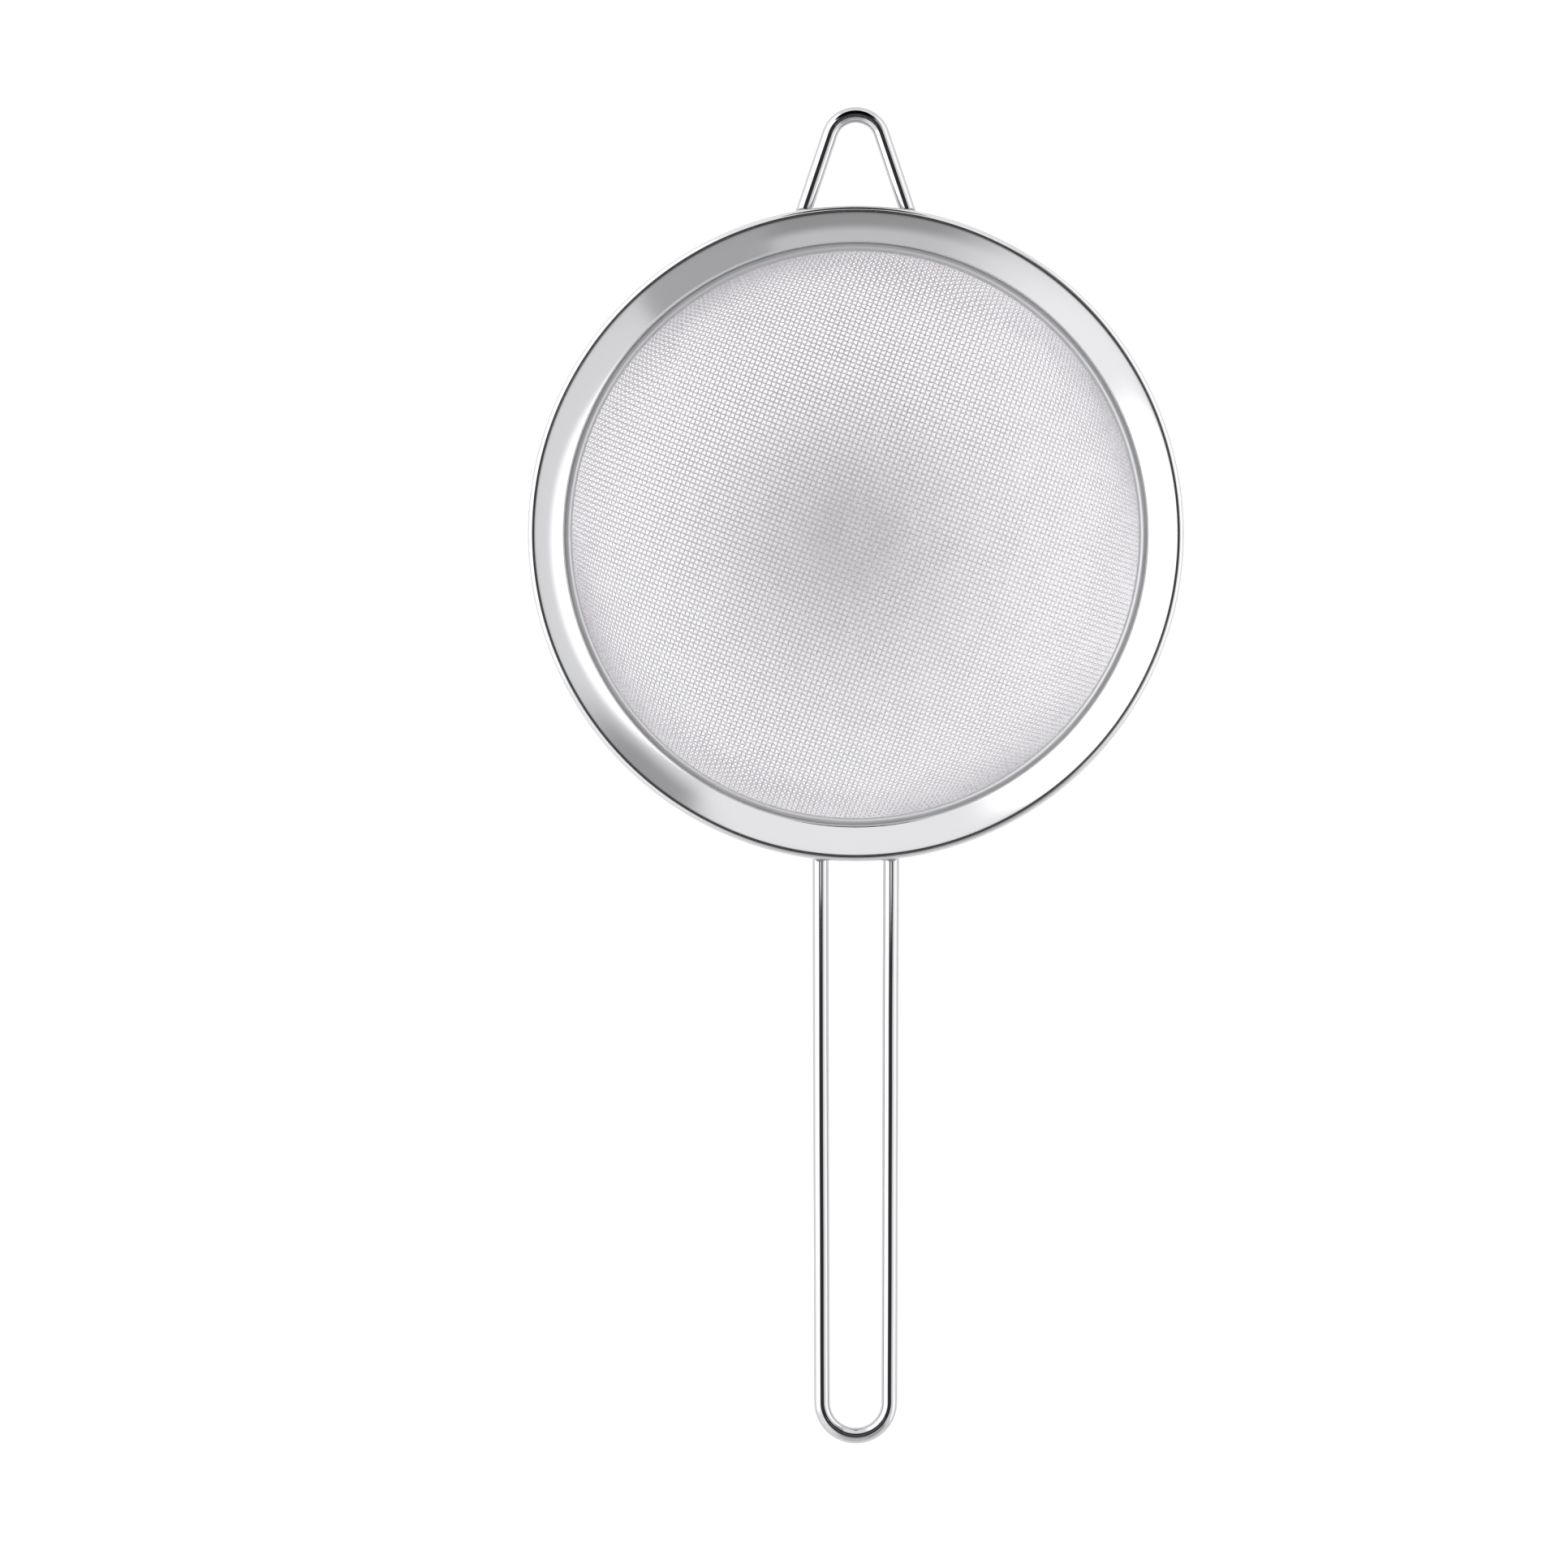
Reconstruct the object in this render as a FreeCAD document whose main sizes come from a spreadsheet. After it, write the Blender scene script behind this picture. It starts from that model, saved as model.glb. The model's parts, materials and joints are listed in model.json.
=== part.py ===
import FreeCAD, Part

# Tea strainer: a bowl of woven wire cloth, held in a pressed stainless rim by an inner clamp
# ring, with a bent wire handle on one side and a bent wire rest hook on the other.
#
# Frame: millimetres, +Z up. The bowl opens upwards. The origin is the centre of the plane on
# which the strainer sits on a cup, which is the underside of the handle and hook wires. The
# handle points along -Y and the hook along +Y.

import math
import os

import Sketcher

Vector = FreeCAD.Vector

# Driving dimensions, in millimetres and degrees.
SIZES = {
    # stock
    "sheet_gauge": 0.4,
    "cloth_gauge": 0.4,
    "wire_dia": 2.0,
    # rim band: collar, shoulder, crowned flange and an edge curled down onto the wires
    "collar_bore_rad": 35.9,
    "collar_drop": 4.5,
    "shoulder_foot": 1.2,
    "shoulder_bend": 0.8,
    "flange_crown": 14.0,
    "curl_centre_rad": 39.8,
    "curl_bend": 0.65,
    "curl_gap": 0.1,
    # inner clamp ring
    "lip_bend": 0.5,
    "lip_below_shoulder": 0.1,
    # woven bowl
    "cloth_below_lip": 0.1,
    "knuckle_bend": 22.0,
    "crown_bend": 42.0,
    # where both bent wires end, under the flange
    "wire_root_reach": 37.2,
    # handle loop
    "handle_root_half": 4.35,
    "handle_bend": 4.15,
    "handle_reach": 112.3,
    # rest hook
    "hook_root_half": 7.4,
    "hook_bend": 3.35,
    "hook_reach": 52.7,
    # weld puddles between the wires and the rim above them
    "weld_rad": 0.9,
    "weld_foot": 1.3,
    "root_weld_rad": 38.15,
    "root_weld_high": 1.05,
    "curl_weld_high": 1.1,
}

# Sketch points: the start, end and centre of an element, and the sketch's own origin.
START, END, CENTRE = 1, 2, 3
ORIGIN = (-1, 1)
VERTICAL_PLANE = FreeCAD.Rotation(Vector(1, 0, 0), 90)
OUTPUT_FOLDER = "parts"


def make_sheet(doc):
    """Write the driving dimensions into a spreadsheet, one alias for each."""
    sheet = doc.addObject("Spreadsheet::Sheet", "sizes")
    for row, (name, value) in enumerate(SIZES.items(), 1):
        sheet.set(f"A{row}", name)
        sheet.set(f"B{row}", str(value))
        sheet.setAlias(f"B{row}", name)
    doc.recompute()
    return sheet


def bind(target, prop, formula):
    """Tie a property to the spreadsheet, with each alias in the formula in braces."""
    names = {name: f"sizes.{name}" for name in SIZES}
    target.setExpression(prop, formula.format(**names))


def measure(sketch, kind, *where, value, formula):
    """Add a dimension to a sketch and tie it to the spreadsheet."""
    index = sketch.addConstraint(Sketcher.Constraint(kind, *where, value))
    bind(sketch, f"Constraints[{index}]", formula)


# ---------------------------------------------------------------- profiles of the spun pieces


def line(start, end):
    """A straight run of a profile, as its geometry and its entry and exit points."""
    return Part.LineSegment(Vector(*start, 0), Vector(*end, 0)), START, END


def turn(centre, radius, from_deg, to_deg):
    """A clockwise bend of a profile. Its geometry runs the other way, so it is entered at its end."""
    circle = Part.Circle(Vector(*centre, 0), Vector(0, 0, 1), radius)
    arc = Part.ArcOfCircle(circle, math.radians(to_deg), math.radians(from_deg))
    return arc, END, START


def smooth_profile(doc, name, runs):
    """Sketch a chain of runs in the vertical plane, each tangent to the next."""
    sketch = doc.addObject("Sketcher::SketchObject", name)
    sketch.Placement = FreeCAD.Placement(Vector(0, 0, 0), VERTICAL_PLANE)
    for geometry, _, _ in runs:
        sketch.addGeometry(geometry)
    for index in range(len(runs) - 1):
        leaving = runs[index][2]
        entering = runs[index + 1][1]
        sketch.addConstraint(Sketcher.Constraint("Tangent", index, leaving, index + 1, entering))
    return sketch


def spin_sheet(doc, label, sketch, gauge):
    """Give a profile its thickness on its right-hand side and spin it about the Z axis."""
    strip = doc.addObject("Part::Offset2D", label + "_strip")
    strip.Source = sketch
    strip.Mode = "Skin"
    strip.Fill = True
    bind(strip, "Value", f"-{{{gauge}}}")
    piece = doc.addObject("Part::Revolution", label)
    piece.Label = label
    piece.Source = strip
    piece.Axis = Vector(0, 0, 1)
    piece.Base = Vector(0, 0, 0)
    piece.Angle = 360
    return piece


def degrees_from(centre, point):
    """The direction from one profile point to another, in degrees."""
    return math.degrees(math.atan2(point[1] - centre[1], point[0] - centre[0]))


def lower_meeting(first, first_radius, second, second_radius):
    """The lower point where two circles meet, given the left one first."""
    across, up = second[0] - first[0], second[1] - first[1]
    apart = math.hypot(across, up)
    along = (apart**2 + first_radius**2 - second_radius**2) / (2 * apart)
    aside = math.sqrt(first_radius**2 - along**2)
    return (
        first[0] + (along * across + aside * up) / apart,
        first[1] + (along * up - aside * across) / apart,
    )


def make_rim_band(doc):
    """The pressed rim: collar, shoulder, crowned flange and an edge curled down onto the wires."""
    bore, drop, foot = SIZES["collar_bore_rad"], SIZES["collar_drop"], SIZES["shoulder_foot"]
    shoulder, crown, curl = SIZES["shoulder_bend"], SIZES["flange_crown"], SIZES["curl_bend"]
    shoulder_at = (bore + shoulder, foot)
    curl_at = (SIZES["curl_centre_rad"], SIZES["wire_dia"] + SIZES["curl_gap"] + curl)
    crown_at = lower_meeting(shoulder_at, crown - shoulder, curl_at, crown - curl)
    steep = degrees_from(crown_at, shoulder_at)
    shallow = degrees_from(crown_at, curl_at)
    sketch = smooth_profile(
        doc,
        "rim_profile",
        [
            line((bore, -drop), (bore, foot)),
            turn(shoulder_at, shoulder, 180, steep),
            turn(crown_at, crown, steep, shallow),
            turn(curl_at, curl, shallow, -180),
        ],
    )
    collar, bend, flange, edge = range(4)
    sketch.addConstraint(Sketcher.Constraint("Vertical", collar))
    measure(sketch, "DistanceX", *ORIGIN, collar, START, value=bore, formula="{collar_bore_rad}")
    measure(sketch, "DistanceY", collar, START, *ORIGIN, value=drop, formula="{collar_drop}")
    measure(sketch, "DistanceY", *ORIGIN, collar, END, value=foot, formula="{shoulder_foot}")
    measure(sketch, "Radius", bend, value=shoulder, formula="{shoulder_bend}")
    measure(sketch, "Radius", flange, value=crown, formula="{flange_crown}")
    measure(sketch, "Radius", edge, value=curl, formula="{curl_bend}")
    curl_centre = [*ORIGIN, edge, CENTRE]
    measure(sketch, "DistanceX", *curl_centre, value=curl_at[0], formula="{curl_centre_rad}")
    curl_height = "{wire_dia} + {curl_gap} + {curl_bend}"
    measure(sketch, "DistanceY", *curl_centre, value=curl_at[1], formula=curl_height)
    sketch.addConstraint(Sketcher.Constraint("Horizontal", edge, START, edge, CENTRE))
    return spin_sheet(doc, "rim_band", sketch, "sheet_gauge")


def make_clamp_ring(doc):
    """The inner ring, whose lip turns outwards over the raw edge of the cloth."""
    bore, drop, bend = SIZES["collar_bore_rad"], SIZES["collar_drop"], SIZES["lip_bend"]
    inside = bore - SIZES["cloth_gauge"] - SIZES["sheet_gauge"]
    spring = SIZES["shoulder_foot"] - SIZES["lip_below_shoulder"] - bend
    sketch = smooth_profile(
        doc,
        "clamp_profile",
        [
            line((inside, -drop), (inside, spring)),
            turn((inside + bend, spring), bend, 180, 90),
            line((inside + bend, spring + bend), (bore, spring + bend)),
        ],
    )
    wall, curl, lip = range(3)
    sketch.addConstraint(Sketcher.Constraint("Vertical", wall))
    sketch.addConstraint(Sketcher.Constraint("Horizontal", lip))
    measure(
        sketch,
        "DistanceX",
        *ORIGIN,
        wall,
        START,
        value=inside,
        formula="{collar_bore_rad} - {cloth_gauge} - {sheet_gauge}",
    )
    measure(sketch, "DistanceY", wall, START, *ORIGIN, value=drop, formula="{collar_drop}")
    measure(sketch, "Radius", curl, value=bend, formula="{lip_bend}")
    measure(
        sketch,
        "DistanceY",
        *ORIGIN,
        lip,
        END,
        value=spring + bend,
        formula="{shoulder_foot} - {lip_below_shoulder}",
    )
    measure(sketch, "DistanceX", *ORIGIN, lip, END, value=bore, formula="{collar_bore_rad}")
    return spin_sheet(doc, "mesh_clamp_ring", sketch, "sheet_gauge")


def make_mesh_bowl(doc):
    """The woven bowl as a plain wall of the cloth's thickness, with its edge under the lip."""
    side, drop = SIZES["collar_bore_rad"], SIZES["collar_drop"]
    knuckle, crown = SIZES["knuckle_bend"], SIZES["crown_bend"]
    lip_underside = SIZES["shoulder_foot"] - SIZES["lip_below_shoulder"] - SIZES["sheet_gauge"]
    top = lip_underside - SIZES["cloth_below_lip"]
    knuckle_at = (side - knuckle, -drop)
    crown_at = (0, math.sqrt((crown - knuckle) ** 2 - knuckle_at[0] ** 2) - drop)
    meeting = degrees_from(crown_at, knuckle_at)
    sketch = smooth_profile(
        doc,
        "bowl_profile",
        [
            line((side, top), (side, -drop)),
            turn(knuckle_at, knuckle, 0, meeting),
            turn(crown_at, crown, meeting, -90),
        ],
    )
    edge, bend, cap = range(3)
    sketch.addConstraint(Sketcher.Constraint("Vertical", edge))
    sketch.addConstraint(Sketcher.Constraint("PointOnObject", cap, CENTRE, -2))
    sketch.addConstraint(Sketcher.Constraint("PointOnObject", cap, START, -2))
    measure(sketch, "DistanceX", *ORIGIN, edge, START, value=side, formula="{collar_bore_rad}")
    measure(
        sketch,
        "DistanceY",
        *ORIGIN,
        edge,
        START,
        value=top,
        formula="{shoulder_foot} - {lip_below_shoulder} - {sheet_gauge} - {cloth_below_lip}",
    )
    measure(sketch, "DistanceY", edge, END, *ORIGIN, value=drop, formula="{collar_drop}")
    measure(sketch, "Radius", bend, value=knuckle, formula="{knuckle_bend}")
    measure(sketch, "Radius", cap, value=crown, formula="{crown_bend}")
    return spin_sheet(doc, "mesh_bowl", sketch, "cloth_gauge")


# ---------------------------------------------------------------------------- bent wire loops


def tangent_point(root, centre_y, radius):
    """Where a straight leg from its root on the +X side meets a bend centred on the Y axis."""
    toward = math.atan2(root[1] - centre_y, root[0])
    opening = math.acos(radius / math.hypot(root[0], root[1] - centre_y))
    side = 1 if root[1] < centre_y else -1
    angle = toward + side * opening
    return radius * math.cos(angle), centre_y + radius * math.sin(angle)


def make_wire_loop(doc, label, name, side):
    """Bend a wire into a loop that points along side * Y, with its two roots at the collar."""
    half, root_reach = SIZES[f"{name}_root_half"], SIZES["wire_root_reach"]
    radius, reach = SIZES[f"{name}_bend"], SIZES[f"{name}_reach"]
    centre_y = side * (reach - SIZES["wire_dia"] / 2 - radius)
    touch_x, touch_y = tangent_point((half, side * root_reach), centre_y, radius)
    root_y = side * root_reach

    body = doc.addObject("PartDesign::Body", label)
    body.Label = label
    plane = next(o for o in body.Origin.OriginFeatures if o.Role == "XY_Plane")
    spine = body.newObject("Sketcher::SketchObject", label + "_spine")
    spine.AttachmentSupport = [(plane, "")]
    spine.MapMode = "FlatFace"
    bind(spine, "AttachmentOffset.Base.z", "{wire_dia} / 2")

    left_leg, bend, right_leg = range(3)
    spine.addGeometry(Part.LineSegment(Vector(-half, root_y, 0), Vector(-touch_x, touch_y, 0)))
    touches = [degrees_from((0, centre_y), (x, touch_y)) for x in (-touch_x, touch_x)]
    if side > 0:
        spine.addGeometry(turn((0, centre_y), radius, *touches)[0])
        bend_left, bend_right = END, START
    else:
        circle = Part.Circle(Vector(0, centre_y, 0), Vector(0, 0, 1), radius)
        spine.addGeometry(Part.ArcOfCircle(circle, *(math.radians(a) for a in touches)))
        bend_left, bend_right = START, END
    spine.addGeometry(Part.LineSegment(Vector(touch_x, touch_y, 0), Vector(half, root_y, 0)))
    spine.addConstraint(Sketcher.Constraint("Tangent", left_leg, END, bend, bend_left))
    spine.addConstraint(Sketcher.Constraint("Tangent", bend, bend_right, right_leg, START))
    spine.addConstraint(Sketcher.Constraint("PointOnObject", bend, CENTRE, -2))
    spine.addConstraint(
        Sketcher.Constraint("Symmetric", left_leg, START, right_leg, END, -2)
    )
    measure(
        spine, "DistanceX", *ORIGIN, right_leg, END, value=half, formula=f"{{{name}_root_half}}"
    )
    measure(spine, "Radius", bend, value=radius, formula=f"{{{name}_bend}}")
    root_span = [*ORIGIN, right_leg, END]
    centre_span = [*ORIGIN, bend, CENTRE]
    if side < 0:
        root_span = root_span[2:] + root_span[:2]
        centre_span = centre_span[2:] + centre_span[:2]
    measure(spine, "DistanceY", *root_span, value=root_reach, formula="{wire_root_reach}")
    measure(
        spine,
        "DistanceY",
        *centre_span,
        value=abs(centre_y),
        formula=f"{{{name}_reach}} - {{wire_dia}} / 2 - {{{name}_bend}}",
    )

    section = body.newObject("Sketcher::SketchObject", label + "_section")
    section.AttachmentSupport = [(spine, "Edge1")]
    section.MapMode = "NormalToEdge"
    section.MapPathParameter = 0
    wire_radius = SIZES["wire_dia"] / 2
    section.addGeometry(Part.Circle(Vector(0, 0, 0), Vector(0, 0, 1), wire_radius))
    section.addConstraint(Sketcher.Constraint("Coincident", 0, CENTRE, *ORIGIN))
    measure(section, "Radius", 0, value=wire_radius, formula="{wire_dia} / 2")
    doc.recompute()

    pipe = body.newObject("PartDesign::AdditivePipe", label + "_wire")
    pipe.Profile = section
    pipe.Spine = (spine, ["Edge1", "Edge2", "Edge3"])
    body.Tip = pipe
    return body


# -------------------------------------------------------------------------------------- welds


def leg_point(name, side, hand, ring_radius):
    """The point where a wire leg's centre line crosses a circle about the Z axis."""
    half, root_y = SIZES[f"{name}_root_half"], side * SIZES["wire_root_reach"]
    radius = SIZES[f"{name}_bend"]
    centre_y = side * (SIZES[f"{name}_reach"] - SIZES["wire_dia"] / 2 - radius)
    touch_x, touch_y = tangent_point((half, root_y), centre_y, radius)
    root = Vector(half, root_y, 0)
    heading = (Vector(touch_x, touch_y, 0) - root).normalize()
    inward = root.dot(heading)
    along = -inward + math.sqrt(inward**2 + ring_radius**2 - root.dot(root))
    point = root + heading * along
    return Vector(hand * point.x, point.y, 0)


def make_weld(doc, label, point, height, loop, rim_band):
    """One weld puddle, which fills the gap between a wire and the rim above it."""
    puddle = doc.addObject("Part::Cylinder", label + "_puddle")
    puddle.Placement.Base = point
    bind(puddle, "Placement.Base.z", "{weld_foot}")
    bind(puddle, "Radius", "{weld_rad}")
    bind(puddle, "Height", f"{{{height}}}")
    above_wire = doc.addObject("Part::Cut", label + "_above_wire")
    above_wire.Base = puddle
    above_wire.Tool = loop
    weld = doc.addObject("Part::Cut", label)
    weld.Label = label
    weld.Base = above_wire
    weld.Tool = rim_band
    return weld


def make_welds(doc, rim_band, loops):
    """Two welds for every wire leg: one at its root under the flange, one under the curl."""
    welds = []
    for name, (side, loop) in loops.items():
        for hand, word in ((-1, "left"), (1, "right")):
            for kind, ring_radius in (
                ("root", SIZES["root_weld_rad"]),
                ("curl", SIZES["curl_centre_rad"]),
            ):
                label = f"{name}_{kind}_weld_{word}"
                point = leg_point(name, side, hand, ring_radius)
                welds.append(make_weld(doc, label, point, f"{kind}_weld_high", loop, rim_band))
    return welds


# ---------------------------------------------------------------------------- check and write


def check_objects(doc):
    """Stop if any object failed to recompute."""
    for item in doc.Objects:
        if "Invalid" in item.State or "Error" in item.State:
            raise RuntimeError(f"{item.Label} failed: {item.State}")


def check_piece(piece):
    """Stop unless a piece is one valid solid, and print its volume."""
    shape = piece.Shape
    if shape.isNull() or not shape.isValid():
        raise RuntimeError(f"{piece.Label} has no valid shape")
    if len(shape.Solids) != 1:
        raise RuntimeError(f"{piece.Label} has {len(shape.Solids)} solids, not one")
    print(f"{piece.Label:24s} {shape.Volume:10.3f} mm3  {shape.BoundBox}")


def check_wire(loop):
    """Compare a bent wire's volume with its section times its length."""
    spine = next(o for o in loop.Group if o.Name.endswith("_spine"))
    expected = math.pi * (SIZES["wire_dia"] / 2) ** 2 * spine.Shape.Length
    if abs(loop.Shape.Volume - expected) > 0.005 * expected:
        raise RuntimeError(f"{loop.Label} holds {loop.Shape.Volume:.2f} mm3, not {expected:.2f}")


def main():
    """Build every piece, check them all and write one STEP file for each."""
    doc = FreeCAD.newDocument("tea_strainer")
    make_sheet(doc)
    rim_band = make_rim_band(doc)
    clamp_ring = make_clamp_ring(doc)
    mesh_bowl = make_mesh_bowl(doc)
    handle = make_wire_loop(doc, "handle_loop", "handle", -1)
    hook = make_wire_loop(doc, "rest_hook", "hook", 1)
    doc.recompute()
    loops = {"handle": (-1, handle), "hook": (1, hook)}
    welds = make_welds(doc, rim_band, loops)
    doc.recompute()

    check_objects(doc)
    pieces = [rim_band, clamp_ring, mesh_bowl, handle, hook, *welds]
    for piece in pieces:
        check_piece(piece)
    for loop in (handle, hook):
        check_wire(loop)
    os.makedirs(OUTPUT_FOLDER, exist_ok=True)
    for piece in pieces:
        piece.Shape.exportStep(os.path.join(OUTPUT_FOLDER, piece.Label + ".step"))


main()
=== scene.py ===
import json
import logging
import math
from dataclasses import dataclass
from enum import Enum
from typing import Iterable, Sequence

import bmesh
import bpy
from bmesh.types import BMEdge, BMesh, BMVert
from mathutils import Matrix, Vector, noise


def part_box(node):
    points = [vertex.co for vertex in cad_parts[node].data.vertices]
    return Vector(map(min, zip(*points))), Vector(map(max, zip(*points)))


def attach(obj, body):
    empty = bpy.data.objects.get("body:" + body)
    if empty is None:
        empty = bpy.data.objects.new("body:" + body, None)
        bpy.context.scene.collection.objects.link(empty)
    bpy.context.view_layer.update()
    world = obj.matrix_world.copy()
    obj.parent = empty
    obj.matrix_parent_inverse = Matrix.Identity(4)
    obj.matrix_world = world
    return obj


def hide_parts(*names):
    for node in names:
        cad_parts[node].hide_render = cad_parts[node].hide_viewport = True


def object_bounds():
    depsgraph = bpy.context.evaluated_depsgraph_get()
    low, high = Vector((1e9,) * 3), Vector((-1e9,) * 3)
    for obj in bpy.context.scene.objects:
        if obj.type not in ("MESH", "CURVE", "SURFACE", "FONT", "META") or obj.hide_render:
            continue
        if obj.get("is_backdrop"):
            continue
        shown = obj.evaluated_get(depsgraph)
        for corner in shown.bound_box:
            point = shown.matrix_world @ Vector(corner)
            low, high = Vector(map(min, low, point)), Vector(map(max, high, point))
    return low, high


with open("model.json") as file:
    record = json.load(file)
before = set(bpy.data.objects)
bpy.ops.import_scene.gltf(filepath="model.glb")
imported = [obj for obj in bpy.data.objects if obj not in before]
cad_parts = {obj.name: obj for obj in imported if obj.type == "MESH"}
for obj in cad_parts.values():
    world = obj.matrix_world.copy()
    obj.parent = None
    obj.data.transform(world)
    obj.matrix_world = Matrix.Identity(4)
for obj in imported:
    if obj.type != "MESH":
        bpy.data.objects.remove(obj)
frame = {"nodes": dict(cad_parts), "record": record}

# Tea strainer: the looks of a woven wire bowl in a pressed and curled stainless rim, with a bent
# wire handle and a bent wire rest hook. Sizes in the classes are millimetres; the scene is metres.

LOG = logging.getLogger("tea_strainer")
MM = 0.001
BODY = "root"
SHAPE_SEED = 7  # Noise follows the clock unless it is given a seed other than 0.
UP = Vector((0.0, 0.0, 1.0))
CUT_EDGE_ANGLE = math.radians(60)
ON_AXIS = 1e-9


class Slot(Enum):
    """The record's material slots."""

    RIM = "rim_steel"
    CLOTH = "cloth_steel"
    WIRE = "wire_steel"
    WELD = "weld_steel"


class Side(Enum):
    """Which way a wire loop points from the bowl, along the Y axis."""

    HANDLE = -1
    HOOK = 1


# ------------------------------------------------------------------------------ small helpers


def linear(hex_code: str) -> tuple[float, float, float, float]:
    """Turn an sRGB hex colour into linear values.

    Args:
        hex_code: Six hex digits, with or without a leading #.

    Returns:
        Linear red, green and blue, with an alpha of 1.
    """
    digits = hex_code.lstrip("#")
    channels = [int(digits[i : i + 2], 16) / 255 for i in (0, 2, 4)]
    curve = [c / 12.92 if c <= 0.04045 else ((c + 0.055) / 1.055) ** 2.4 for c in channels]
    return curve[0], curve[1], curve[2], 1.0


def add_node(
    tree: bpy.types.NodeTree,
    kind: str,
    links: dict | None = None,
    values: dict | None = None,
    **settings: object,
) -> bpy.types.Node:
    """Add a node with its settings, input values and input links.

    Args:
        tree: The node tree that takes the node.
        kind: The node's type name.
        links: Input name or number to the output socket that feeds it.
        values: Input name or number to its plain value.
        **settings: The node's own properties.

    Returns:
        The new node.
    """
    node = tree.nodes.new(kind)
    for name, value in settings.items():
        setattr(node, name, value)
    for name, value in (values or {}).items():
        node.inputs[name].default_value = value
    for name, socket in (links or {}).items():
        tree.links.new(socket, node.inputs[name])
    return node


def add_noise(
    tree: bpy.types.NodeTree,
    place: bpy.types.NodeSocket,
    width_mm: float,
    detail: float,
    roughness: float = 0.5,
) -> bpy.types.NodeSocket:
    """Add a noise pattern.

    Args:
        tree: The node tree that takes it.
        place: The coordinates that it follows.
        width_mm: The width of its largest features.
        detail: How many finer layers it has.
        roughness: How strong the finer layers are.

    Returns:
        The pattern, from 0 to 1.
    """
    values = {"Scale": 1 / (width_mm * MM), "Detail": detail, "Roughness": roughness}
    return add_node(tree, "ShaderNodeTexNoise", {"Vector": place}, values).outputs["Fac"]


def add_bump(
    tree: bpy.types.NodeTree, height: bpy.types.NodeSocket, strength: float, depth_mm: float
) -> None:
    """Bump a material's surface by a pattern.

    Args:
        tree: The material's node tree.
        height: The pattern.
        strength: How much of the bump is used.
        depth_mm: The depth of the pattern.
    """
    values = {"Strength": strength, "Distance": depth_mm * MM}
    bump = add_node(tree, "ShaderNodeBump", {"Height": height}, values)
    tree.links.new(bump.outputs["Normal"], tree.nodes["Principled BSDF"].inputs["Normal"])


def node_size(node: str) -> tuple[Vector, Vector]:
    """Give a CAD node's lowest and highest corners in millimetres."""
    low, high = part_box(node)
    return low / MM, high / MM


def mount_radius(name: str) -> float:
    """Give a round mount's radius in millimetres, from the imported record."""
    mount = next(m for m in frame["record"]["mounts"] if m["name"] == name)
    return mount["dims"]["r_mm"]


def show(
    mesh: BMesh | bpy.types.Mesh, name: str, material: bpy.types.Material
) -> bpy.types.Object:
    """Put a mesh into the scene.

    Args:
        mesh: The mesh, with its place in its vertices.
        name: The object's name.
        material: Its material.

    Returns:
        The object.
    """
    data = mesh
    if isinstance(mesh, BMesh):
        data = bpy.data.meshes.new(name)
        mesh.to_mesh(data)
        mesh.free()
    data.materials.clear()
    data.materials.append(material)
    shown = bpy.data.objects.new(name, data)
    bpy.context.scene.collection.objects.link(shown)
    return shown


def publish(
    mesh: BMesh | bpy.types.Mesh,
    name: str,
    material: bpy.types.Material,
    nodes: Sequence[str],
) -> None:
    """Make a finished piece, ride it on the body and say which CAD nodes it stands for.

    Args:
        mesh: The piece's mesh, with its place in its vertices.
        name: The piece's name.
        material: Its finish.
        nodes: The CAD nodes that it replaces.
    """
    piece = show(mesh, name, material)
    piece.data.shade_smooth()
    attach(piece, BODY)
    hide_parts(*nodes)
    LOG.info("%s: %d faces for %s", name, len(piece.data.polygons), ", ".join(nodes))


def break_edges(mesh: BMesh, burr_mm: float) -> None:
    """Round the sharp cut edges of a sheet or a wire.

    Args:
        mesh: The mesh to change.
        burr_mm: How far the rounding reaches.
    """
    bmesh.ops.bevel(
        mesh,
        geom=[e for e in mesh.edges if e.calc_face_angle(0.0) > CUT_EDGE_ANGLE],
        offset=burr_mm * MM,
        segments=3,
        profile=0.5,
        affect="EDGES",
        material=-1,
    )


def soften(mesh: BMesh, size_mm: float, depth_mm: float) -> None:
    """Move every vertex a little by smooth noise, as hand work and tooling leave a surface.

    Args:
        mesh: The mesh to change.
        size_mm: The width of one swell.
        depth_mm: The most that a vertex moves.
    """
    for vert in mesh.verts:
        vert.co += noise.noise_vector(vert.co / (size_mm * MM)) * depth_mm * MM


# ----------------------------------------------------------------------------------- finishes


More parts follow.
